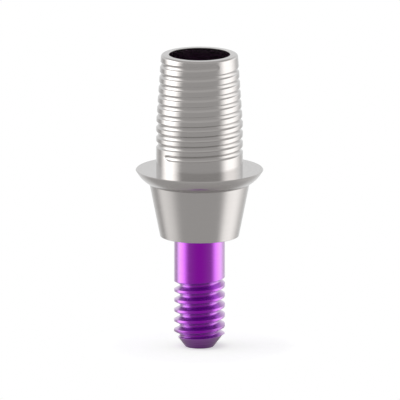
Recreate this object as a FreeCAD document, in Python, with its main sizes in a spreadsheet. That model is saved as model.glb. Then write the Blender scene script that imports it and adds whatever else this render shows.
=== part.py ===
import FreeCAD, Part
import math
import os
import Sketcher
from FreeCAD import Placement, Rotation, Vector

# Dental abutment: a turned titanium base, and the screw that fastens it in the implant.
# Millimetres and degrees. Z is the turning axis. The origin is the centre of the implant's mouth,
# the circle where the connection cone meets the underside of the flange.

# Driving dimensions
SIZES = (
    # The flange, which carries the margin of the crown
    ("flange_diameter", 5.0),
    ("flange_depth", 0.563),
    ("flange_underside_radius", 1.25),
    ("rim_chamfer", 0.03),
    # The connection cone, whose angle is measured from the axis
    ("cone_top_diameter", 3.93),
    ("cone_length", 2.1),
    ("cone_angle", 11.3),
    # The post that the crown is bonded to
    ("post_diameter", 3.4),
    ("post_height", 4.6),
    ("post_straight_height", 1.86),
    ("post_taper", 4.0),
    ("post_edge_rounding", 0.1),
    # The screw channel, and the floor under the head of the screw
    ("channel_diameter", 2.4),
    ("seat_floor", 1.2),
    ("running_clearance", 0.04),
    # The retention groove, whose flank angle is measured from a plane across the axis
    ("groove_pitch", 0.4),
    ("groove_depth", 0.076),
    ("groove_floor_width", 0.1),
    ("groove_flank_angle", 45.0),
    ("groove_start_height", 0.676),
    ("groove_start_bearing", -138.5),
    ("groove_straight_turns", 4.0),
    ("groove_top_land", 0.243),
    ("groove_end_radius", 0.15),
    ("groove_dwell", 0.01),
    # The screw
    ("screw_diameter", 2.0),
    ("screw_reach", 4.425),
    ("head_height", 2.0),
    ("head_chamfer", 0.1),
    ("tip_diameter", 1.11),
    ("tip_cone_length", 0.5),
    ("tip_cone_diameter", 1.875),
    # The hexagon socket for the driver
    ("socket_flats", 1.25),
    ("socket_depth", 1.2),
    ("socket_mouth", 0.06),
    ("socket_drill_angle", 59.0),
    # The thread, whose flank angle is measured from a plane across the axis
    ("thread_pitch", 0.4),
    ("thread_depth", 0.225),
    ("thread_root_width", 0.06),
    ("thread_flank_angle", 30.0),
    ("thread_lead_in", 0.15),
    ("thread_turns", 6.9),
    ("thread_runout_turns", 0.5),
    ("tool_overrun", 0.03),
)

document = FreeCAD.newDocument("dental_abutment")
sizes = document.addObject("Spreadsheet::Sheet", "sizes")
for row, (alias, value) in enumerate(SIZES, start=1):
    sizes.set(f"A{row}", alias)
    sizes.set(f"B{row}", str(value))
    sizes.setAlias(f"B{row}", alias)
document.recompute()

# Heights above the origin, as expressions of the driving dimensions
FLANGE_TOP = "sizes.flange_depth"
TAPER_START = "sizes.flange_depth + sizes.post_straight_height"
POST_TOP = "sizes.flange_depth + sizes.post_height"
CONE_END = "-sizes.cone_length"
SEAT = "sizes.seat_floor - sizes.cone_length"
HEAD_TOP = f"{SEAT} + sizes.head_height"
HEAD_EDGE = f"{HEAD_TOP} - sizes.head_chamfer"
SOCKET_FLOOR = f"{HEAD_TOP} - sizes.socket_depth"
TIP = "-sizes.cone_length - sizes.screw_reach"
TIP_CONE_TOP = f"{TIP} + sizes.tip_cone_length"

# Radii
FLANGE = "sizes.flange_diameter / 2"
CONE_TOP = "sizes.cone_top_diameter / 2"
CONE_BOTTOM = f"{CONE_TOP} - sizes.cone_length * tan(sizes.cone_angle)"
POST = "sizes.post_diameter / 2"
TAPER_HEIGHT = "sizes.post_height - sizes.post_straight_height - sizes.post_edge_rounding"
POST_RIM = f"{POST} - ({TAPER_HEIGHT}) * tan(sizes.post_taper)"
CHANNEL = "sizes.channel_diameter / 2"
HEAD = f"{CHANNEL} - sizes.running_clearance"
SHANK = "sizes.screw_diameter / 2"
SHANK_HOLE = f"{SHANK} + sizes.running_clearance"
SOCKET_FLAT = "sizes.socket_flats / 2"
SOCKET_CORNER = f"{SOCKET_FLAT} / cos(30)"


def number(expression):
    """What an expression of the sheet's names comes to."""
    return float(sizes.evalExpression(expression))


def bind(sketch, constraint, expression):
    """Add a dimension to a sketch and tie it to the sheet."""
    index = sketch.addConstraint(constraint)
    sketch.setExpression(f"Constraints[{index}]", expression)


def section_sketch(body, name, bearing=None):
    """An empty sketch in the plane beside the axis at a bearing about it, counted from X."""
    sketch = body.newObject("Sketcher::SketchObject", name)
    upright_plane = next(f for f in body.Origin.OriginFeatures if f.Role == "XZ_Plane")
    sketch.AttachmentSupport = [(upright_plane, "")]
    sketch.MapMode = "FlatFace"
    if bearing:
        sketch.AttachmentOffset = Placement(Vector(), Rotation(Vector(0, 1, 0), 1))
        sketch.setExpression("AttachmentOffset.Rotation.Angle", f"({bearing}) * 1 deg")
    return sketch


def convex_arc(begin, end, radius):
    """The arc from begin to end that turns left round the material."""
    chord = end - begin
    left = Vector(-chord.y, chord.x, 0).normalize()
    centre = begin + chord * 0.5 + left * math.sqrt(radius ** 2 - (chord.Length / 2) ** 2)
    circle = Part.Circle(centre, Vector(0, 0, 1), radius)
    return Part.ArcOfCircle(circle, circle.parameter(begin), circle.parameter(end))


def outline(body, name, corners, bearing=None):
    """A sketch of a closed outline through corners, each a radius and a height.

    A third entry is the radius of the convex arc that leads to the corner. Where a corner repeats
    the radius or the height of the one before, the line between them is upright or level.
    """
    sketch = section_sketch(body, name, bearing)
    points = [Vector(number(corner[0]), number(corner[1]), 0) for corner in corners]
    for i, corner in enumerate(corners):
        if len(corner) == 3:
            edge = convex_arc(points[i - 1], points[i], number(corner[2]))
        else:
            edge = Part.LineSegment(points[i - 1], points[i])
        sketch.addGeometry(edge)
    for i, corner in enumerate(corners):
        before = (i - 1) % len(corners)
        sketch.addConstraint(Sketcher.Constraint("Coincident", before, 2, i, 1))
        if i and corner[0] == corners[before][0]:
            sketch.addConstraint(Sketcher.Constraint("Vertical", i))
        elif corner[0] == "0":
            sketch.addConstraint(Sketcher.Constraint("PointOnObject", i, 2, -2))
        else:
            bind(sketch, Sketcher.Constraint("DistanceX", -1, 1, i, 2, points[i].x), corner[0])
        if i and corner[1] == corners[before][1]:
            sketch.addConstraint(Sketcher.Constraint("Horizontal", i))
        elif corner[1] == "0":
            sketch.addConstraint(Sketcher.Constraint("PointOnObject", i, 2, -1))
        else:
            bind(sketch, Sketcher.Constraint("DistanceY", -1, 1, i, 2, points[i].y), corner[1])
        if len(corner) == 3:
            bind(sketch, Sketcher.Constraint("Radius", i, number(corner[2])), corner[2])
    return sketch


def turn(body, name, corners):
    """Turn the body's first solid."""
    sketch = outline(body, f"{name}_section", corners)
    feature = body.newObject("PartDesign::Revolution", name)
    feature.Profile = (sketch, [""])
    feature.ReferenceAxis = (sketch, ["V_Axis"])
    feature.Angle = 360
    document.recompute()
    return feature


def cut(feature):
    """Recompute a cutting feature, and make sure that it took material away."""
    document.recompute()
    before = feature.BaseFeature.Shape.Volume
    after = feature.Shape.Volume
    if not after < before:
        raise RuntimeError(f"{feature.Label} cuts nothing: {before} to {after}")
    return feature


def bore(body, name, corners):
    """Bore an outline out of the body."""
    sketch = outline(body, f"{name}_section", corners)
    feature = body.newObject("PartDesign::Groove", name)
    feature.Profile = (sketch, [""])
    feature.ReferenceAxis = (sketch, ["V_Axis"])
    feature.Angle = 360
    return cut(feature)


def helical_cut(body, name, sketch, pitch, turns, angle="0"):
    """Sweep a sketch up a right-handed helix, which opens out by an angle from the axis."""
    feature = body.newObject("PartDesign::SubtractiveHelix", name)
    feature.Profile = (sketch, [""])
    feature.ReferenceAxis = (sketch, ["V_Axis"])
    feature.Mode = "pitch-turns-angle"
    feature.Tolerance = 0.001
    feature.setExpression("Pitch", pitch)
    feature.setExpression("Turns", turns)
    feature.setExpression("Angle", angle)
    return cut(feature)


def place(feature, height, radius="0", bearing="0"):
    """Put a primitive at a height and at a radius and bearing about the axis, and turn it there."""
    feature.setExpression("Placement.Rotation.Angle", f"({bearing}) * 1 deg")
    feature.setExpression("Placement.Base.x", f"({radius}) * cos({bearing})")
    feature.setExpression("Placement.Base.y", f"({radius}) * sin({bearing})")
    feature.setExpression("Placement.Base.z", height)


def cone_cut(body, name, low_radius, high_radius, low, high):
    """Countersink a cone about the axis, between two heights."""
    feature = body.newObject("PartDesign::SubtractiveCone", name)
    feature.setExpression("Radius1", low_radius)
    feature.setExpression("Radius2", high_radius)
    feature.setExpression("Height", f"({high}) - ({low})")
    place(feature, low)
    return cut(feature)


def ball_cut(body, name, radius, centre_radius, height, bearing):
    """Cut a ball out of the body."""
    feature = body.newObject("PartDesign::SubtractiveSphere", name)
    feature.setExpression("Radius", radius)
    place(feature, height, centre_radius, bearing)
    return cut(feature)


def new_body(label):
    """An empty body, whose label names its file."""
    body = document.addObject("PartDesign::Body", label)
    body.Label = label
    return body


def groove_section(body, name, wall, depth, floor_width, flank_angle, height, bearing=None):
    """The section of a groove in a wall: a flat floor between two flanks, open past the wall."""
    floor = f"{wall} - {depth}"
    mouth = f"{wall} + sizes.tool_overrun"
    half_floor = f"{floor_width} / 2"
    half_mouth = f"({half_floor} + ({depth} + sizes.tool_overrun) * tan({flank_angle}))"
    return outline(body, name, [
        (floor, f"{height} - {half_floor}"),
        (mouth, f"{height} - {half_mouth}"),
        (mouth, f"{height} + {half_mouth}"),
        (floor, f"{height} + {half_floor}"),
    ], bearing)


def retention_groove(body):
    """The helical groove that holds the cement, up the straight foot and the taper of the post."""
    pitch = "sizes.groove_pitch"
    depth = "sizes.groove_depth"
    floor_width = "sizes.groove_floor_width"
    flank_angle = "sizes.groove_flank_angle"
    start = "sizes.flange_depth + sizes.groove_start_height"
    start_bearing = "sizes.groove_start_bearing"
    straight_turns = "sizes.groove_straight_turns"
    bend = f"{start} + {pitch} * {straight_turns}"
    bend_bearing = f"{start_bearing} + 360 * {straight_turns}"
    end = f"{POST_TOP} - sizes.groove_top_land"
    taper_turns = f"({end} - ({bend})) / {pitch}"
    end_bearing = f"{bend_bearing} + 360 * {taper_turns}"
    low = groove_section(body, "groove_section_low", POST, depth, floor_width, flank_angle,
                         start, start_bearing)
    helical_cut(body, "groove_straight", low, pitch, straight_turns)
    high = groove_section(body, "groove_section_high", POST, depth, floor_width, flank_angle,
                          bend, bend_bearing)
    helical_cut(body, "groove_taper", high, pitch, taper_turns, "-sizes.post_taper")

    # Where the cutter goes in and comes out it dwells, and leaves a round end a little deeper
    ball = "sizes.groove_end_radius"
    start_centre = f"{POST} - {depth} - sizes.groove_dwell + {ball}"
    end_centre = f"{start_centre} - {pitch} * {taper_turns} * tan(sizes.post_taper)"
    ball_cut(body, "groove_start", ball, start_centre, start, start_bearing)
    ball_cut(body, "groove_end", ball, end_centre, end, end_bearing)


def titanium_base():
    """The base: connection cone, flange and grooved post, bored for the screw."""
    body = new_body("titanium_base")
    rim = "sizes.rim_chamfer"
    edge = "sizes.post_edge_rounding"
    turn(body, "turned_form", [
        ("0", CONE_END),
        (CONE_BOTTOM, CONE_END),
        (CONE_TOP, "0"),
        (FLANGE, f"{FLANGE_TOP} - {rim}", "sizes.flange_underside_radius"),
        (f"{FLANGE} - {rim}", FLANGE_TOP),
        (POST, FLANGE_TOP),
        (POST, TAPER_START),
        (POST_RIM, f"{POST_TOP} - {edge}"),
        (f"{POST_RIM} - {edge}", POST_TOP, edge),
        ("0", POST_TOP),
    ])
    bore(body, "screw_channel", [
        ("0", POST_TOP),
        ("0", CONE_END),
        (SHANK_HOLE, CONE_END),
        (SHANK_HOLE, SEAT),
        (CHANNEL, SEAT),
        (CHANNEL, POST_TOP),
    ])
    retention_groove(body)
    return body


def driver_socket(body):
    """The hexagon socket, with its countersunk mouth and the cone that the drill left below it."""
    cone_cut(body, "socket_drill", "0", SOCKET_FLAT,
             f"{SOCKET_FLOOR} - {SOCKET_FLAT} / tan(sizes.socket_drill_angle)", SOCKET_FLOOR)
    hexagon = body.newObject("PartDesign::SubtractivePrism", "socket_hexagon")
    hexagon.Polygon = 6
    hexagon.setExpression("Circumradius", SOCKET_CORNER)
    hexagon.setExpression("Height", "sizes.socket_depth")
    place(hexagon, SOCKET_FLOOR)
    cut(hexagon)
    mouth = f"{SOCKET_CORNER} + sizes.socket_mouth"
    mouth_depth = f"{mouth} - {SOCKET_FLAT}"
    cone_cut(body, "socket_countersink", SOCKET_FLAT, mouth, f"{HEAD_TOP} - ({mouth_depth})", HEAD_TOP)


def machine_thread(body):
    """The thread, cut from below the tip, and its run-out where the tool draws off the shank."""
    pitch = "sizes.thread_pitch"
    depth = "sizes.thread_depth"
    root_width = "sizes.thread_root_width"
    flank_angle = "sizes.thread_flank_angle"
    turns = "sizes.thread_turns"
    runout = "sizes.thread_runout_turns"
    start = f"{TIP} - sizes.thread_lead_in"
    end = f"{start} + {pitch} * {turns}"
    draw_off = f"atan(({depth} + sizes.tool_overrun) / ({pitch} * {runout}))"
    vee = groove_section(body, "thread_section", SHANK, depth, root_width, flank_angle, start)
    helical_cut(body, "thread", vee, pitch, turns)
    last_vee = groove_section(body, "runout_section", SHANK, depth, root_width, flank_angle,
                              end, f"360 * {turns}")
    helical_cut(body, "thread_runout", last_vee, pitch, runout, draw_off)


def abutment_screw():
    """The screw: head with a hexagon socket, plain shank, thread and coned tip."""
    body = new_body("abutment_screw")
    turn(body, "turned_form", [
        ("0", TIP),
        ("sizes.tip_diameter / 2", TIP),
        ("sizes.tip_cone_diameter / 2", TIP_CONE_TOP),
        (SHANK, TIP_CONE_TOP),
        (SHANK, SEAT),
        (HEAD, SEAT),
        (HEAD, HEAD_EDGE),
        (f"{HEAD} - sizes.head_chamfer", HEAD_TOP),
        ("0", HEAD_TOP),
    ])
    driver_socket(body)
    machine_thread(body)
    return body


bodies = [titanium_base(), abutment_screw()]
document.recompute()

for item in document.Objects:
    if "Invalid" in item.State or "Error" in item.State:
        raise RuntimeError(f"{item.Label} did not build: {item.State}")
for body in bodies:
    if body.Shape.isNull() or not body.Shape.isValid():
        raise RuntimeError(f"{body.Label} is not a sound solid")

os.makedirs("parts", exist_ok=True)
for body in bodies:
    body.Shape.exportStep(f"parts/{body.Label}.step")
    print(body.Label, len(body.Shape.Solids), "solid,", round(body.Shape.Volume, 4), "mm3")
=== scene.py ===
import math

import bpy
import numpy as np
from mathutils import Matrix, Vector


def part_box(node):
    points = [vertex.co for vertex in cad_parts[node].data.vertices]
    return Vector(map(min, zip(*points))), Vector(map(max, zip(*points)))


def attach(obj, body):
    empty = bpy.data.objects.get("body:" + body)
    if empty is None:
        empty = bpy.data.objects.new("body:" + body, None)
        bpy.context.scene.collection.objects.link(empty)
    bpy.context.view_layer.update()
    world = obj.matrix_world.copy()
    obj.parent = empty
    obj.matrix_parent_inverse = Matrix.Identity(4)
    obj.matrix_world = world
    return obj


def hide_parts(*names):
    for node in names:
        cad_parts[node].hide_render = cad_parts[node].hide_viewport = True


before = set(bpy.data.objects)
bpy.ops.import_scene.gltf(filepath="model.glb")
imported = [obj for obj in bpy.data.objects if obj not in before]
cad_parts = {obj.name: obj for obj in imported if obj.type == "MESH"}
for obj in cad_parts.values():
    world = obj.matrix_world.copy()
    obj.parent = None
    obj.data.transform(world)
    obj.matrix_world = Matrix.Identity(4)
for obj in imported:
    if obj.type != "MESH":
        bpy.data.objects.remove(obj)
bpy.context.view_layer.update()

# Lengths are in millimetres and angles in degrees until a mesh or an object is made.
MM = 0.001


def node_size(node):
    """A node's lowest height, highest height and radius."""
    low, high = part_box(node)
    return [round(value / MM, 4) for value in (low.z, high.z, high.x)]


# The base, turned round the Z axis
CONE_END, POST_TOP, FLANGE = node_size("titanium_base")
FLANGE_TOP = 0.563
UNDERSIDE_ARC = 1.25
RIM_CHAMFER = 0.03
CONE_TOP = 1.965
CONE_ANGLE = 11.3
POST = 1.7
POST_STRAIGHT = 1.86
POST_TAPER = 4.0
POST_EDGE = 0.1
CHANNEL = 1.2
SHANK_HOLE = 1.04
EDGE_BREAK = 0.012

# The retention groove: a right-handed helix, straight at first and then leaning in with the post
PITCH = 0.4
GROOVE_DEPTH = 0.076
GROOVE_NOSE = 0.14
GROOVE_START = FLANGE_TOP + 0.671
GROOVE_START_BEARING = -132.5
GROOVE_STRAIGHT_TURNS = 4.0
GROOVE_END = POST_TOP - 0.254
GROOVE_START_STRETCH = 3.0
GROOVE_END_STRETCH = 1.3
GROOVE_LIP = 0.012
GROOVE_LEAST_DEPTH = 0.03

# The screw
TIP, HEAD_TOP, HEAD = node_size("abutment_screw")
SEAT = CONE_END + 1.2
SHANK = 1.0
HEAD_CHAMFER = 0.1
TIP_FLAT = 0.555
TIP_CONE_TOP = TIP + 0.5
TIP_CONE = 0.9375
SOCKET_FLAT = 0.625
SOCKET_DEPTH = 1.2
SOCKET_MOUTH = 0.06
SOCKET_DRILL_ANGLE = 59.0
THREAD_DEPTH = 0.225
THREAD_ROOT = 0.062
THREAD_FLANK = 28.5
THREAD_START = TIP - 0.15
THREAD_TURNS = 6.9
THREAD_RUNOUT = 0.5
THREAD_RUNOUT_DRAW = 0.255
THREAD_LIP = 0.01
SHANK_START = THREAD_START + PITCH * (THREAD_TURNS + THREAD_RUNOUT + 0.5)

# How finely the meshes are divided. Rows of a groove are shares of the way from its middle (0) over
# its edge (0.5) to the middle of the land (1). ROOT_ROWS are multiples of the share at the corner of
# the thread's root. Heights that differ by HAIR and radii that differ by less than TOUCHING are one.
BASE_COLUMNS = 312
SCREW_COLUMNS = 240
FLOOR_COLUMNS = 96
TIP_ROWS = 100
CONE_ROWS = 8
UNDERSIDE_ROWS = 12
POST_EDGE_ROWS = 8
GROOVE_ROWS = (0.16, 0.3, 0.39, 0.45, 0.475, 0.488, 0.5, 0.512, 0.525, 0.57, 0.7)
ROOT_ROWS = (0.7, 1.0, 1.3)
THREAD_ROWS = (0.19, 0.3, 0.42, 0.46, 0.485, 0.5, 0.54, 0.6, 0.75)
FLANGE_RINGS = (2.2, 1.9)
CHANNEL_RING = 3.0
SHARP = 20.0
HAIR = 1e-9
TOUCHING = 1e-4


def tan(degrees):
    return math.tan(math.radians(degrees))


def smooth_least(a, b, width):
    """The lower of two surfaces, rounded where they cross."""
    share = np.clip(0.5 + 0.5 * (b - a) / width, 0, 1)
    return b + (a - b) * share - width * share * (1 - share)


def rows_round_groove(rows):
    """The rows of one turn of a helical wall, from those on one side of the groove's middle."""
    return sorted([-row for row in rows] + [0.0] + list(rows) + [1.0])


class Skin:
    """A mesh of rings round the Z axis. Bands run outwards below, up outside, inwards on top."""

    def __init__(self, columns):
        self.columns = columns
        self.bearings = np.arange(columns) * math.tau / columns
        self.points = []
        self.faces = []
        self.rounded = set()

    def add(self, radii, heights):
        """A ring. A radius or height is a number, or an array with one entry per column."""
        radii = np.broadcast_to(radii, self.columns)
        heights = np.broadcast_to(heights, self.columns)
        first = len(self.points)
        self.points += list(zip(radii * np.cos(self.bearings), radii * np.sin(self.bearings), heights))
        return list(range(first, first + self.columns))

    def band(self, ring, onto):
        """Faces between two rings that are there already."""
        for i in range(self.columns):
            after = (i + 1) % self.columns
            corners = tuple(dict.fromkeys((ring[i], ring[after], onto[after], onto[i])))
            if len(corners) > 2:
                self.faces.append(corners)
        return onto

    def run(self, ring, *profile):
        """Bands from a ring through the radius and height of each point of a profile."""
        for radii, heights in profile:
            ring = self.band(ring, self.add(radii, heights))
        return ring

    def pole(self, ring, height, upwards):
        """Close a ring onto a point of the axis."""
        self.points.append((0.0, 0.0, height))
        pole = len(self.points) - 1
        for i in range(self.columns):
            after = (i + 1) % self.columns
            self.faces.append((ring[i], ring[after], pole) if upwards else (ring[after], ring[i], pole))

    def helical_wall(self, low, high, start, shares, half_mouth, radius):
        """A wall whose rows follow a helix, cut off at two heights.

        start is the height of row 0 at bearing 0. Each turn has one row for each of shares, from
        -1 to 1, and half of those lie inside the groove's mouth. radius gives the wall's radius
        from the bearing, the height, the offset from the groove's centre and the turns climbed.
        """
        first_turn = math.floor((low - start) / PITCH) - 2
        last_turn = math.ceil((high - start) / PITCH) + 1
        turns = np.arange(first_turn, last_turn + 1)
        climbed = turns[None, :] + self.bearings[:, None] / math.tau
        mouth = np.repeat(half_mouth(climbed)[:, :, None], len(shares), axis=2)
        share = np.asarray(shares)[None, None, :]
        outside = np.sign(share) * (mouth + (2 * np.abs(share) - 1) * (PITCH / 2 - mouth))
        offset = np.where(np.abs(share) <= 0.5, 2 * share * mouth, outside)
        height = start + PITCH * climbed[:, :, None] + offset
        climbed = np.broadcast_to(climbed[:, :, None], height.shape)
        offset, height, climbed = (a.reshape(self.columns, -1) for a in (offset, height, climbed))
        held = np.clip(height, low, high)
        radii = radius(self.bearings[:, None], held, offset + held - height, climbed)
        lowest = (height <= low).sum(axis=1) - 1
        highest = (height < high).sum(axis=1)
        height = held
        places = {}
        wall_start = len(self.faces)
        for i in range(self.columns):
            for j in range(lowest[i], highest[i] + 1):
                places[i, j] = len(self.points)
                x = radii[i, j] * math.cos(self.bearings[i])
                y = radii[i, j] * math.sin(self.bearings[i])
                self.points.append((x, y, height[i, j]))
        for i in range(self.columns):
            after = (i + 1) % self.columns
            # From the last column on to the first, a row goes on as the same row one turn higher.
            shift = 0 if after else len(shares)
            for j in range(lowest[i] - 1, highest[i] + 1):
                rows = [min(max(k, lowest[i]), highest[i]) for k in (j, j + 1)]
                rows_after = [min(max(k + shift, lowest[after]), highest[after]) for k in (j, j + 1)]
                here = [places[i, row] for row in rows]
                there = [places[after, row] for row in rows_after]
                if here[0] != here[1]:
                    self.faces.append((here[0], there[0], here[1]))
                if there[0] != there[1]:
                    self.faces.append((there[0], there[1], here[1]))
        self.rounded.update(range(wall_start, len(self.faces)))
        bottom = [places[i, lowest[i]] for i in range(self.columns)]
        top = [places[i, highest[i]] for i in range(self.columns)]
        return bottom, top

    def build(self, name, material):
        mesh = bpy.data.meshes.new(name)
        mesh.from_pydata([tuple(MM * c for c in point) for point in self.points], [], self.faces)
        for polygon in mesh.polygons:
            polygon.use_smooth = True
        mesh.set_sharp_from_angle(angle=math.radians(SHARP))
        inner_edges = {}
        for i in self.rounded:
            for edge in mesh.polygons[i].edge_keys:
                inner_edges[edge] = inner_edges.get(edge, 0) + 1
        for edge in mesh.edges:
            if inner_edges.get(edge.key) == 2:
                edge.use_edge_sharp = False
        mesh.materials.append(material)
        piece = bpy.data.objects.new(name, mesh)
        bpy.context.scene.collection.objects.link(piece)
        return piece


def arc(start, end, radius, steps):
    """Points after start on a convex arc that turns left round the material."""
    a, b = Vector(start), Vector(end)
    chord = b - a
    left = Vector((-chord.y, chord.x)).normalized()
    centre = (a + b) / 2 + left * math.sqrt(radius ** 2 - chord.length_squared / 4)
    first = math.atan2(a.y - centre.y, a.x - centre.x)
    last = math.atan2(b.y - centre.y, b.x - centre.x)
    turn = (last - first) % math.tau
    angles = [first + turn * i / steps for i in range(1, steps + 1)]
    return [(centre.x + radius * math.cos(t), centre.y + radius * math.sin(t)) for t in angles]


def post_wall(height):
    """The radius of the post's outside before it is grooved."""
    return POST - np.maximum(height - FLANGE_TOP - POST_STRAIGHT, 0) * tan(POST_TAPER)


def groove_floor(climbed):
    """The radius of the groove's floor at a number of turns from its start."""
    return POST - GROOVE_DEPTH - PITCH * np.maximum(climbed - GROOVE_STRAIGHT_TURNS, 0) * tan(POST_TAPER)


def ball_cut(bearings, heights, ball_bearing, ball_height, floor, stretch):
    """The radius to which an end of the groove is cut, a ball that is stretched along the groove."""
    centre = floor + GROOVE_NOSE
    apart = bearings - ball_bearing
    along = centre * np.sin(apart) / stretch
    inside = GROOVE_NOSE ** 2 - (heights - ball_height) ** 2 - along ** 2
    hit = (inside > 0) & (np.cos(apart) > 0)
    return np.where(hit, centre - np.sqrt(np.maximum(inside, 0)), 2 * POST)


def groove_turns():
    """The turns from the groove's start to its end."""
    return (GROOVE_END - GROOVE_START) / PITCH


def base_wall(bearings, heights, offset, climbed):
    """The radius of the grooved post."""
    climbed = climbed - GROOVE_START_BEARING / 360
    floor = groove_floor(climbed)
    nose = GROOVE_NOSE - np.sqrt(np.maximum(GROOVE_NOSE ** 2 - offset ** 2, 0))
    nose = np.where(np.abs(offset) < GROOVE_NOSE, nose, POST)
    cut = np.where((climbed >= 0) & (climbed <= groove_turns()), floor + nose, 2 * POST)
    ends = (0, GROOVE_START, GROOVE_START_STRETCH), (groove_turns(), GROOVE_END, GROOVE_END_STRETCH)
    for turns, height, stretch in ends:
        bearing = math.radians(GROOVE_START_BEARING) + math.tau * turns
        cut = np.minimum(cut, ball_cut(bearings, heights, bearing, height, groove_floor(turns), stretch))
    return smooth_least(cut, post_wall(heights), GROOVE_LIP)


def groove_half_mouth(climbed):
    """Half the width of the groove where it opens out of the post."""
    from_start = climbed - GROOVE_START_BEARING / 360
    height = GROOVE_START + PITCH * from_start
    depth = np.clip(post_wall(height) - groove_floor(from_start), GROOVE_LEAST_DEPTH, GROOVE_DEPTH)
    return np.sqrt(GROOVE_NOSE ** 2 - (GROOVE_NOSE - depth) ** 2)


def grooved_base(material):
    """The base, from the lower edge of its bore, out and up over the flange and post, and back."""
    skin = Skin(BASE_COLUMNS)
    cone_bottom = CONE_TOP + CONE_END * tan(CONE_ANGLE)
    rim_low = (FLANGE, FLANGE_TOP - RIM_CHAMFER)
    start = GROOVE_START - PITCH * GROOVE_START_BEARING / 360
    rows = rows_round_groove(GROOVE_ROWS)
    edge_low = POST_TOP - POST_EDGE
    post_rim = post_wall(edge_low)
    foot, shoulder = skin.helical_wall(FLANGE_TOP, edge_low, start, rows, groove_half_mouth, base_wall)
    bore_edge = skin.add(SHANK_HOLE, CONE_END)
    flange_top = skin.run(
        bore_edge,
        (cone_bottom - EDGE_BREAK, CONE_END),
        (cone_bottom, CONE_END + EDGE_BREAK),
        *[(CONE_TOP + z * tan(CONE_ANGLE), z) for z in np.linspace(CONE_END, 0, CONE_ROWS + 1)[1:]],
        *arc((CONE_TOP, 0), rim_low, UNDERSIDE_ARC, UNDERSIDE_ROWS),
        (FLANGE - RIM_CHAMFER, FLANGE_TOP),
        *[(radius, FLANGE_TOP) for radius in FLANGE_RINGS],
    )
    skin.band(flange_top, foot)
    inner = skin.run(
        shoulder,
        *arc((post_rim, edge_low), (post_rim - POST_EDGE, POST_TOP), POST_EDGE, POST_EDGE_ROWS),
        (CHANNEL + EDGE_BREAK, POST_TOP),
        (CHANNEL, POST_TOP - EDGE_BREAK),
        (CHANNEL, CHANNEL_RING),
        (CHANNEL, HEAD_TOP),
        (CHANNEL, SEAT),
        (SHANK_HOLE, SEAT),
    )
    skin.band(inner, bore_edge)
    return skin.build("grooved_base", material)


def screw_wall(bearings, heights, offset, climbed):
    """The radius of the threaded length, over its coned tip."""
    drawn = np.maximum(climbed - THREAD_TURNS, 0) / THREAD_RUNOUT * THREAD_RUNOUT_DRAW
    flank = np.maximum(np.abs(offset) - THREAD_ROOT / 2, 0) / tan(THREAD_FLANK)
    thread = SHANK - THREAD_DEPTH + drawn + flank
    cone = TIP_FLAT + (heights - TIP) * (TIP_CONE - TIP_FLAT) / (TIP_CONE_TOP - TIP)
    body = np.where(heights < TIP_CONE_TOP, cone, SHANK)
    return smooth_least(thread, body, THREAD_LIP)


def thread_half_mouth(climbed):
    """Half the width of the thread's groove where it opens out of the shank."""
    return np.full(climbed.shape, THREAD_ROOT / 2 + THREAD_DEPTH * tan(THREAD_FLANK))


def thread_ring(bearings, height):
    """The radius of the threaded length all round at one height."""
    climbed = np.round((height - THREAD_START) / PITCH - bearings / math.tau) + bearings / math.tau
    return screw_wall(bearings, height, height - THREAD_START - PITCH * climbed, climbed)


def coned_tip(skin, onto):
    """The tip in fine level rings, from its flat up to a ring of the wall above."""
    ring = skin.add(thread_ring(skin.bearings, TIP), TIP)
    skin.pole(ring, TIP, False)
    start = len(skin.faces)
    for height in np.linspace(TIP, TIP_CONE_TOP, TIP_ROWS + 1)[1:-1]:
        ring = skin.band(ring, skin.add(thread_ring(skin.bearings, height), height))
    radii = thread_ring(skin.bearings, TIP_CONE_TOP - HAIR)
    shoulder = []
    for i, bearing in enumerate(skin.bearings):
        x, y = radii[i] * math.cos(bearing), radii[i] * math.sin(bearing)
        if math.hypot(*skin.points[onto[i]][:2]) - radii[i] < TOUCHING:
            shoulder.append(onto[i])
        else:
            shoulder.append(len(skin.points))
            skin.points.append((x, y, TIP_CONE_TOP))
    skin.band(ring, shoulder)
    skin.rounded.update(range(start, len(skin.faces)))
    skin.band(shoulder, onto)


def threaded_screw(material):
    """The screw, from the tip up over thread, shank and head, and down into the socket."""
    skin = Skin(SCREW_COLUMNS)
    corner = 0.5 * THREAD_ROOT / (THREAD_ROOT + 2 * THREAD_DEPTH * tan(THREAD_FLANK))
    rows = rows_round_groove([share * corner for share in ROOT_ROWS] + list(THREAD_ROWS))
    foot, shank = skin.helical_wall(TIP_CONE_TOP, SHANK_START, THREAD_START, rows,
                                    thread_half_mouth, screw_wall)
    coned_tip(skin, foot)
    off_flat = np.mod(np.degrees(skin.bearings), 60) - 30
    hexagon = SOCKET_FLAT / np.cos(np.radians(off_flat))
    mouth = SOCKET_FLAT / math.cos(math.radians(30)) + SOCKET_MOUTH
    socket_floor = HEAD_TOP - SOCKET_DEPTH
    drilled = skin.run(
        shank,
        (SHANK, (SHANK_START + SEAT) / 2),
        (SHANK, SEAT),
        (HEAD, SEAT),
        (HEAD, HEAD_TOP - HEAD_CHAMFER),
        (HEAD - HEAD_CHAMFER, HEAD_TOP),
        (mouth, HEAD_TOP),
        (hexagon, HEAD_TOP - mouth + hexagon),
        (hexagon, socket_floor),
        (SOCKET_FLAT, socket_floor),
    )
    skin.pole(drilled, socket_floor - SOCKET_FLAT / tan(SOCKET_DRILL_ANGLE), True)
    return skin.build("threaded_screw", material)


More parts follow.
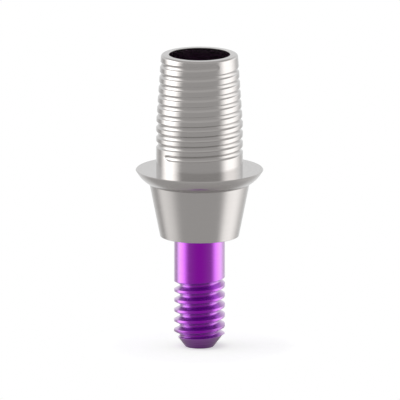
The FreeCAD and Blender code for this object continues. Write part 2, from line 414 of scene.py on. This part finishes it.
class Nodes:
    """A node tree, with short calls that add a node and link its inputs."""

    def __init__(self, tree):
        self.tree = tree
        tree.nodes.clear()

    def add(self, kind, inputs=None, **settings):
        node = self.tree.nodes.new(kind)
        for key, value in settings.items():
            setattr(node, key, value)
        for key, value in (inputs or {}).items():
            if isinstance(value, bpy.types.NodeSocket):
                self.tree.links.new(value, node.inputs[key])
            else:
                node.inputs[key].default_value = value
        return node

    def math(self, operation, a, b=0.0):
        return self.add("ShaderNodeMath", {0: a, 1: b}, operation=operation).outputs[0]

    def spread(self, value, low, high, to_low, to_high, smooth=True):
        inputs = {"Value": value, "From Min": low, "From Max": high, "To Min": to_low, "To Max": to_high}
        kind = "SMOOTHSTEP" if smooth else "LINEAR"
        return self.add("ShaderNodeMapRange", inputs, interpolation_type=kind).outputs[0]

    def over(self, value, low, high, to_low, to_high):
        """spread between two lengths in millimetres."""
        return self.spread(value, low * MM, high * MM, to_low, to_high)

    def mix(self, share, a, b):
        """A colour between two others. Each is a constant or a socket."""
        a, b = ((*color, 1) if isinstance(color, tuple) else color for color in (a, b))
        inputs = {"Factor": share, "A": a, "B": b}
        return self.add("ShaderNodeMix", inputs, data_type="RGBA").outputs["Result"]

    def scaled(self, color, factor):
        inputs = {0: color, "Scale": factor}
        return self.add("ShaderNodeVectorMath", inputs, operation="SCALE").outputs["Vector"]

    def metal(self, color, rough, bump):
        inputs = {"Base Color": color, "Metallic": 1.0, "Roughness": rough, "Normal": bump}
        return self.add("ShaderNodeBsdfPrincipled", inputs).outputs[0]


def new_material(name):
    material = bpy.data.materials.new(name)
    material.use_nodes = True
    return material, Nodes(material.node_tree)


def around_axis(nodes):
    """The distance from the Z axis, the height, and noise that is drawn out into circles round it."""
    place = nodes.add("ShaderNodeTexCoord").outputs["Object"]
    x, y, z = nodes.add("ShaderNodeSeparateXYZ", {0: place}).outputs
    flat = nodes.add("ShaderNodeCombineXYZ", {0: x, 1: y})
    radius = nodes.add("ShaderNodeVectorMath", {0: flat.outputs[0]}, operation="LENGTH").outputs["Value"]
    across = LINES_PER_MM / MM
    circles = nodes.add("ShaderNodeCombineXYZ", {
        0: nodes.math("MULTIPLY", radius, across),
        1: nodes.math("MULTIPLY", z, across),
        2: nodes.math("MULTIPLY", nodes.math("ADD", x, y), across / LINE_STRETCH),
    })
    noise = nodes.add("ShaderNodeTexNoise", {
        "Vector": circles.outputs[0],
        "Scale": 1.0,
        "Detail": LINE_DETAIL,
        "Roughness": LINE_SHARPNESS,
    })
    return radius, z, noise.outputs["Fac"]


def tool_lines(nodes, noise, depth):
    """The normal of a surface with lines in it. The depth is in metres."""
    return nodes.add("ShaderNodeBump", {"Height": noise, "Strength": 1.0, "Distance": depth}).outputs[0]


def turned_titanium():
    """Titanium with fine circular tool lines, clear on the cone, faint on the post, none in the bore.

    Down the bore its colour has a trace of purple, a painted reflection of the screw.
    """
    material, nodes = new_material("turned_titanium")
    radius, height, noise = around_axis(nodes)
    outside = nodes.over(radius, BORE_EDGE, BORE_EDGE + FINISH_BLEND, 0, 1)
    on_cone = nodes.over(height, 0, FLANGE_TOP, 1, 0)
    lines = nodes.spread(on_cone, 0, 1, POST_LINES * MM, CONE_LINES * MM)
    bump = tool_lines(nodes, noise, nodes.math("MULTIPLY", outside, lines))
    satin = nodes.spread(on_cone, 0, 1, POST_ROUGHNESS, CONE_ROUGHNESS)
    wall = nodes.math("MULTIPLY", satin, nodes.spread(noise, *NOISE_RANGE, 1 - UNEVEN, 1 + UNEVEN))
    rough = nodes.spread(outside, 0, 1, BORE_ROUGHNESS, wall)
    # Painted reflection: deeper than a set depth from the top, the bore's colour is a purple stand-in for
    # the screw mirrored in it.
    above_painted_reflection = nodes.over(height, POST_TOP - BORE_REFLECTION_DEPTH, POST_TOP, 0, 1)
    color = nodes.mix(nodes.math("MAXIMUM", outside, above_painted_reflection), PAINTED_BORE_REFLECTION, TITANIUM)
    nodes.add("ShaderNodeOutputMaterial", {"Surface": nodes.metal(color, rough, bump)})
    return material


def anodised_purple():
    """Turned titanium under a thin oxide film, purple when seen head on and paler towards the edges.

    Painted shade makes it a little darker down in the thread and on the tip.
    """
    material, nodes = new_material("anodised_purple")
    radius, _, noise = around_axis(nodes)
    bump = tool_lines(nodes, noise, SCREW_LINES * MM)
    least, most = (1 - UNEVEN) * SCREW_ROUGHNESS, (1 + UNEVEN) * SCREW_ROUGHNESS
    rough = nodes.spread(noise, *NOISE_RANGE, least, most)
    # Painted shade: the colours are darker below the shank's surface, in the thread and on the tip.
    painted_shade = nodes.over(radius, SHANK - THREAD_DEPTH, SHANK - FINISH_BLEND, PAINTED_THREAD_SHADE, 1)
    purple_metal, film = (nodes.metal(nodes.scaled(color, painted_shade), rough, bump) for color in (PURPLE, FILM))
    facing = nodes.add("ShaderNodeLayerWeight", {"Blend": FILM_BLEND}).outputs["Facing"]
    shader = nodes.add("ShaderNodeMixShader", {0: facing, 1: purple_metal, 2: film})
    nodes.add("ShaderNodeOutputMaterial", {"Surface": shader.outputs[0]})
    return material


def floor_material():
    """A white floor that glows to the camera, most at its edge. Both looks of it keep the shadow.

    To the camera it has a painted contact shadow beside the tip, and a greener colour near the tip,
    painted against the purple light the screw throws on it. Metal shows it as grey as the rest of the
    room below, with painted shade making it darker under the tip.
    """
    material, nodes = new_material("white_floor")
    seen = nodes.add("ShaderNodeLightPath").outputs
    mirrored = nodes.math("MAXIMUM", seen["Is Glossy Ray"], seen["Is Transmission Ray"])
    # Painted contact shadow: the camera's glow is dimmed round a point beside the tip.
    place = nodes.add("ShaderNodeTexCoord").outputs["Object"]
    painted_shadow_place = [MM * value for value in PAINTED_SHADOW_PLACE]
    off = nodes.add("ShaderNodeVectorMath", {0: place, 1: painted_shadow_place}, operation="DISTANCE")
    painted_shadow = nodes.over(off.outputs["Value"], *PAINTED_SHADOW_REACH, PAINTED_SHADOW_LEVEL, 1)
    away = nodes.add("ShaderNodeVectorMath", {0: place}, operation="LENGTH").outputs["Value"]
    to_edge = nodes.over(away, *FLOOR_FADE, 0, EDGE_GLOW)
    glowing = nodes.math("ADD", nodes.math("MULTIPLY", painted_shadow, FLOOR_GLOW), to_edge)
    strength = nodes.math("MULTIPLY", seen["Is Camera Ray"], glowing)
    # Painted shade: in metal the floor is darker under the tip.
    in_metal = nodes.scaled(FLOOR_COLOR_IN_METAL, nodes.over(away, *PAINTED_SHADE_UNDER_TIP_REACH, PAINTED_SHADE_UNDER_TIP, 1))
    # Near the tip the floor's colour is painted greener, against the purple light the screw throws there.
    plain = nodes.mix(nodes.over(away, *AGAINST_BOUNCE_REACH, 0, 1), FLOOR_COLOR_AGAINST_BOUNCE, FLOOR_COLOR)
    diffuse = nodes.add("ShaderNodeBsdfDiffuse", {"Color": nodes.mix(mirrored, plain, in_metal)})
    glow = nodes.add("ShaderNodeEmission", {"Color": (*WHITE, 1), "Strength": strength})
    lit = nodes.add("ShaderNodeAddShader", {0: diffuse.outputs[0], 1: glow.outputs[0]})
    nodes.add("ShaderNodeOutputMaterial", {"Surface": lit.outputs[0]})
    return material


def floor():
    """A round floor under the tip."""
    points = [(0, 0, 0)]
    for i in range(FLOOR_COLUMNS):
        bearing = math.tau * i / FLOOR_COLUMNS
        points.append((FLOOR_RADIUS * MM * math.cos(bearing), FLOOR_RADIUS * MM * math.sin(bearing), 0))
    faces = [(0, i + 1, (i + 1) % FLOOR_COLUMNS + 1) for i in range(FLOOR_COLUMNS)]
    mesh = bpy.data.meshes.new("floor")
    mesh.from_pydata(points, [], faces)
    mesh.materials.append(floor_material())
    piece = bpy.data.objects.new("floor", mesh)
    piece.location.z = TIP * MM
    bpy.context.scene.collection.objects.link(piece)


def hump(nodes, value, start, full, fade, end):
    """0 outside start and end, 1 between full and fade, smooth in between."""
    rise = nodes.spread(value, start, full, 0, 1)
    fall = nodes.spread(value, fade, end, 1, 0)
    return nodes.math("MULTIPLY", rise, fall)


def studio():
    """A white surround for the camera. The object stands in a room with a tall soft lamp on each side.

    Bearings are in degrees from the camera's side, positive to its right, and lifts are above level.
    """
    world = bpy.data.worlds.new("studio")
    bpy.context.scene.world = world
    world.use_nodes = True
    nodes = Nodes(world.node_tree)
    direction = nodes.add("ShaderNodeTexCoord").outputs["Generated"]
    x, y, z = nodes.add("ShaderNodeSeparateXYZ", {0: direction}).outputs
    bearing = nodes.math("DEGREES", nodes.math("ARCTAN2", x, nodes.math("MULTIPLY", y, -1)))
    lift = nodes.math("DEGREES", nodes.math("ARCSINE", z))
    turned = nodes.math("ABSOLUTE", bearing)
    low_back = nodes.spread(turned, *LOW_ROOM_TURNS, 0, 1)
    to_back = nodes.spread(lift, *ROOM_LIFTS, low_back, nodes.spread(turned, *HIGH_ROOM_TURNS, 0, 1))
    upright = hump(nodes, lift, *BACK_LIFTS)
    behind = nodes.math("MULTIPLY", to_back, upright)
    plain = nodes.spread(lift, *ABOVE_LIFTS, ROOM_LEVEL, ROOM_ABOVE)
    level = nodes.spread(behind, 0, 1, plain, BACK_LEVEL, smooth=False)
    for turns, lifts, strength in (LEFT_LAMP, RIGHT_LAMP):
        lamp = nodes.math("MULTIPLY", hump(nodes, bearing, *turns), hump(nodes, lift, *lifts))
        level = nodes.math("ADD", level, nodes.math("MULTIPLY", lamp, strength))
    straight_back = nodes.spread(turned, *BACKDROP_TURNS, 0, 1)
    backdrop = nodes.math("MULTIPLY", straight_back, hump(nodes, lift, *BACKDROP_LIFTS))
    seen = nodes.add("ShaderNodeLightPath").outputs
    mirrored = nodes.math("MAXIMUM", seen["Is Glossy Ray"], seen["Is Transmission Ray"])
    shown = nodes.math("MAXIMUM", seen["Is Camera Ray"], nodes.math("MULTIPLY", mirrored, backdrop))
    room_color = nodes.mix(behind, ROOM_COLOR, WHITE)
    room = nodes.add("ShaderNodeBackground", {"Color": room_color, "Strength": level})
    white = nodes.add("ShaderNodeBackground", {"Color": (*WHITE, 1), "Strength": 1.0})
    mix = nodes.add("ShaderNodeMixShader", {0: shown, 1: room.outputs[0], 2: white.outputs[0]})
    nodes.add("ShaderNodeOutputWorld", {"Surface": mix.outputs[0]})


def camera():
    """The photograph's view: straight on, a little from above, with no perspective."""
    data = bpy.data.cameras.new("camera")
    data.type = "ORTHO"
    data.ortho_scale = VIEW_WIDTH * MM
    data.clip_start, data.clip_end = (distance * MM for distance in VIEW_REACH)
    piece = bpy.data.objects.new("camera", data)
    lift = math.radians(VIEW_ELEVATION)
    back = Vector((0, -math.cos(lift), math.sin(lift)))
    piece.location = (Vector((VIEW_X, 0, VIEW_Z)) + back * VIEW_DISTANCE) * MM
    piece.rotation_euler = (math.radians(90) - lift, 0, 0)
    bpy.context.scene.collection.objects.link(piece)
    bpy.context.scene.camera = piece


# The view, whose scale comes from the pitch of the thread in the photograph
VIEW_WIDTH = 15.68
VIEW_ELEVATION = 12.0
VIEW_X = 0.0196
VIEW_Z = -0.684
VIEW_DISTANCE = 100.0
VIEW_REACH = (1.0, 1000.0)

# Light, as radiance where 1 is white, by bearing and lift in degrees
ROOM_LEVEL = 0.45
ROOM_ABOVE = 0.54
ABOVE_LIFTS = (0, 40)
ROOM_COLOR = (1.0, 0.973, 0.953)
WHITE = (1.0, 1.0, 1.0)
BACK_LEVEL = 0.84
LOW_ROOM_TURNS = (125, 168)
HIGH_ROOM_TURNS = (105, 138)
ROOM_LIFTS = (-12, 8)
BACK_LIFTS = (-52, -36, 16, 48)
BACKDROP_TURNS = (165, 180)
BACKDROP_LIFTS = (-30, -12, -8, 6)
LEFT_LAMP = ((-131, -97, -82, -47), (-44, 8, 22, 44), 2.1)
RIGHT_LAMP = ((52, 82, 96, 152), (-58, -11, 14, 36), 1.28)
FLOOR_RADIUS = 4.5
FLOOR_COLOR = (0.73, 0.755, 0.77)
# Painted against bounced light: greener near the tip, to cancel the purple the screw throws on the floor.
FLOOR_COLOR_AGAINST_BOUNCE = (0.73, 0.80, 0.73)
AGAINST_BOUNCE_REACH = (0.6, 2.6)
# A painted contact shadow on the floor: its centre, its reach, and the share of the glow left at its
# darkest.
PAINTED_SHADOW_PLACE = (0.15, 0.05, 0.0)
PAINTED_SHADOW_REACH = (0.5, 1.15)
PAINTED_SHADOW_LEVEL = 0.72
FLOOR_COLOR_IN_METAL = (0.66, 0.655, 0.64)
FLOOR_GLOW = 0.53
FLOOR_FADE = (3.0, 4.4)
EDGE_GLOW = 0.05
# Painted shade on the floor under the tip, as metal sees it.
PAINTED_SHADE_UNDER_TIP_REACH = (0.5, 1.2)
PAINTED_SHADE_UNDER_TIP = 0.9

# Finishes. Tool lines are so many for each millimetre, and so many times longer than wide. Roughness
# varies by the share UNEVEN over NOISE_RANGE, and one finish turns into another over FINISH_BLEND.
LINES_PER_MM = 12.0
LINE_STRETCH = 60.0
LINE_DETAIL = 3.0
LINE_SHARPNESS = 0.6
NOISE_RANGE = (0.3, 0.7)
UNEVEN = 0.2
FINISH_BLEND = 0.02
BORE_EDGE = CHANNEL + 0.02
TITANIUM = (0.62, 0.61, 0.605)
# A painted reflection: the purple colour down the bore stands for the screw mirrored there, and how deep
# it starts.
PAINTED_BORE_REFLECTION = (0.65, 0.46, 0.65)
BORE_REFLECTION_DEPTH = 0.5
POST_ROUGHNESS = 0.17
CONE_ROUGHNESS = 0.2
BORE_ROUGHNESS = 0.14
POST_LINES = 0.00003
CONE_LINES = 0.0006
PURPLE = (0.42, 0.002, 0.635)
FILM = (0.98, 0.98, 0.98)
FILM_BLEND = 0.28
SCREW_ROUGHNESS = 0.23
# Painted shade in the thread and on the tip, as a share of the colour.
PAINTED_THREAD_SHADE = 0.85
SCREW_LINES = 0.00003

titanium = turned_titanium()
purple = anodised_purple()

base = grooved_base(titanium)
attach(base, "base")
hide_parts("titanium_base")
screw = threaded_screw(purple)
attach(screw, "screw")
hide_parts("abutment_screw")

floor()
studio()
camera()

bpy.context.scene.view_settings.view_transform = "Standard"
